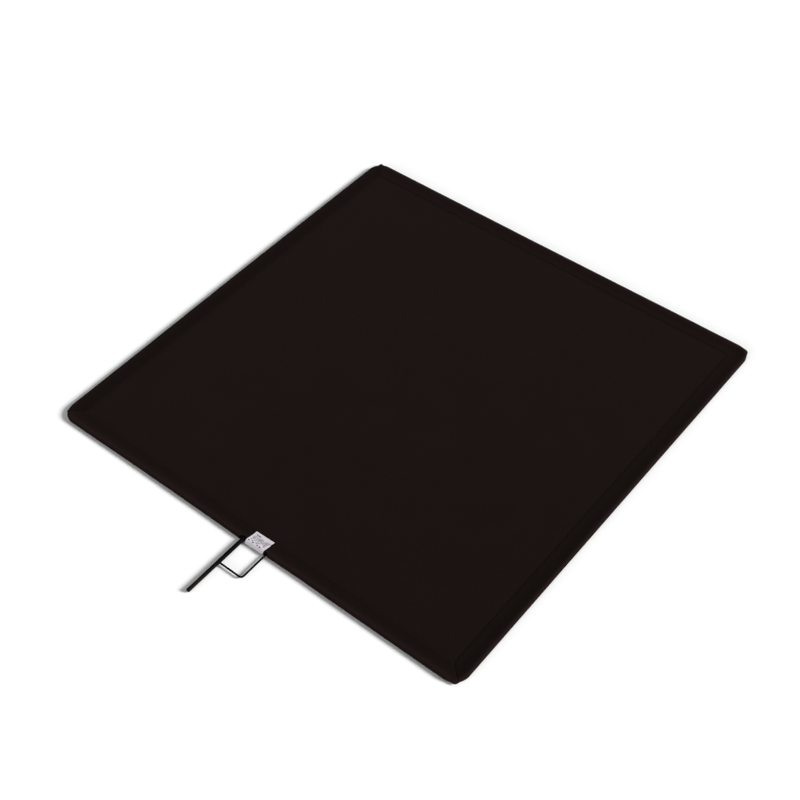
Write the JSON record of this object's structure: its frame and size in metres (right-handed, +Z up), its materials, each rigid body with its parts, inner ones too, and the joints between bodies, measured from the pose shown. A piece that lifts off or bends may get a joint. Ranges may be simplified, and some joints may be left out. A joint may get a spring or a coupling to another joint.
{
  "type": "lighting flag",
  "caption": "Square solid black lighting flag: cloth sewn round a closed tube frame, with a mounting pin and a wire hanging loop on one side.",
  "frame": {"origin": "middle of the whole outline in plan, mounting pin included, on the surface that the flag lies on", "axes": "+X along the pin side, +Y from the pin side to the opposite side (the pin points to -Y), +Z up through the flag's thickness"},
  "size_m": [1.2192, 1.3952, 0.0132],
  "materials": {
    "frame_steel": "black paint, inside the sleeves",
    "pin_steel": "satin black, worn to the steel at the end and along the edges",
    "wire_steel": "satin black paint",
    "weld": "painted weld bead",
    "black_cloth": "matt black napped cotton, light absorbing",
    "black_thread": "spun black thread",
    "label_cloth": "white woven tape with plain grey lines",
    "label_thread": "white thread"
  },
  "bodies": {
    "root": {"frame_left": "frame_steel", "frame_right": "frame_steel", "frame_back": "frame_steel", "frame_front_left": "frame_steel", "frame_front_right": "frame_steel", "bend_front_left": "frame_steel", "bend_front_right": "frame_steel", "bend_back_left": "frame_steel", "bend_back_right": "frame_steel", "frame_spigot": "frame_steel", "mounting_pin": "pin_steel", "hanging_loop": "wire_steel", "pin_weld": "weld", "loop_pin_weld": "weld", "loop_frame_weld": "weld", "cloth_panel": "black_cloth", "hem_front": "black_cloth", "hem_back": "black_cloth", "hem_left": "black_cloth", "hem_right": "black_cloth", "hem_thread": "black_thread", "mitre_thread": "black_thread", "label": "label_cloth", "label_thread": "label_thread"}
  },
  "joints": []
}
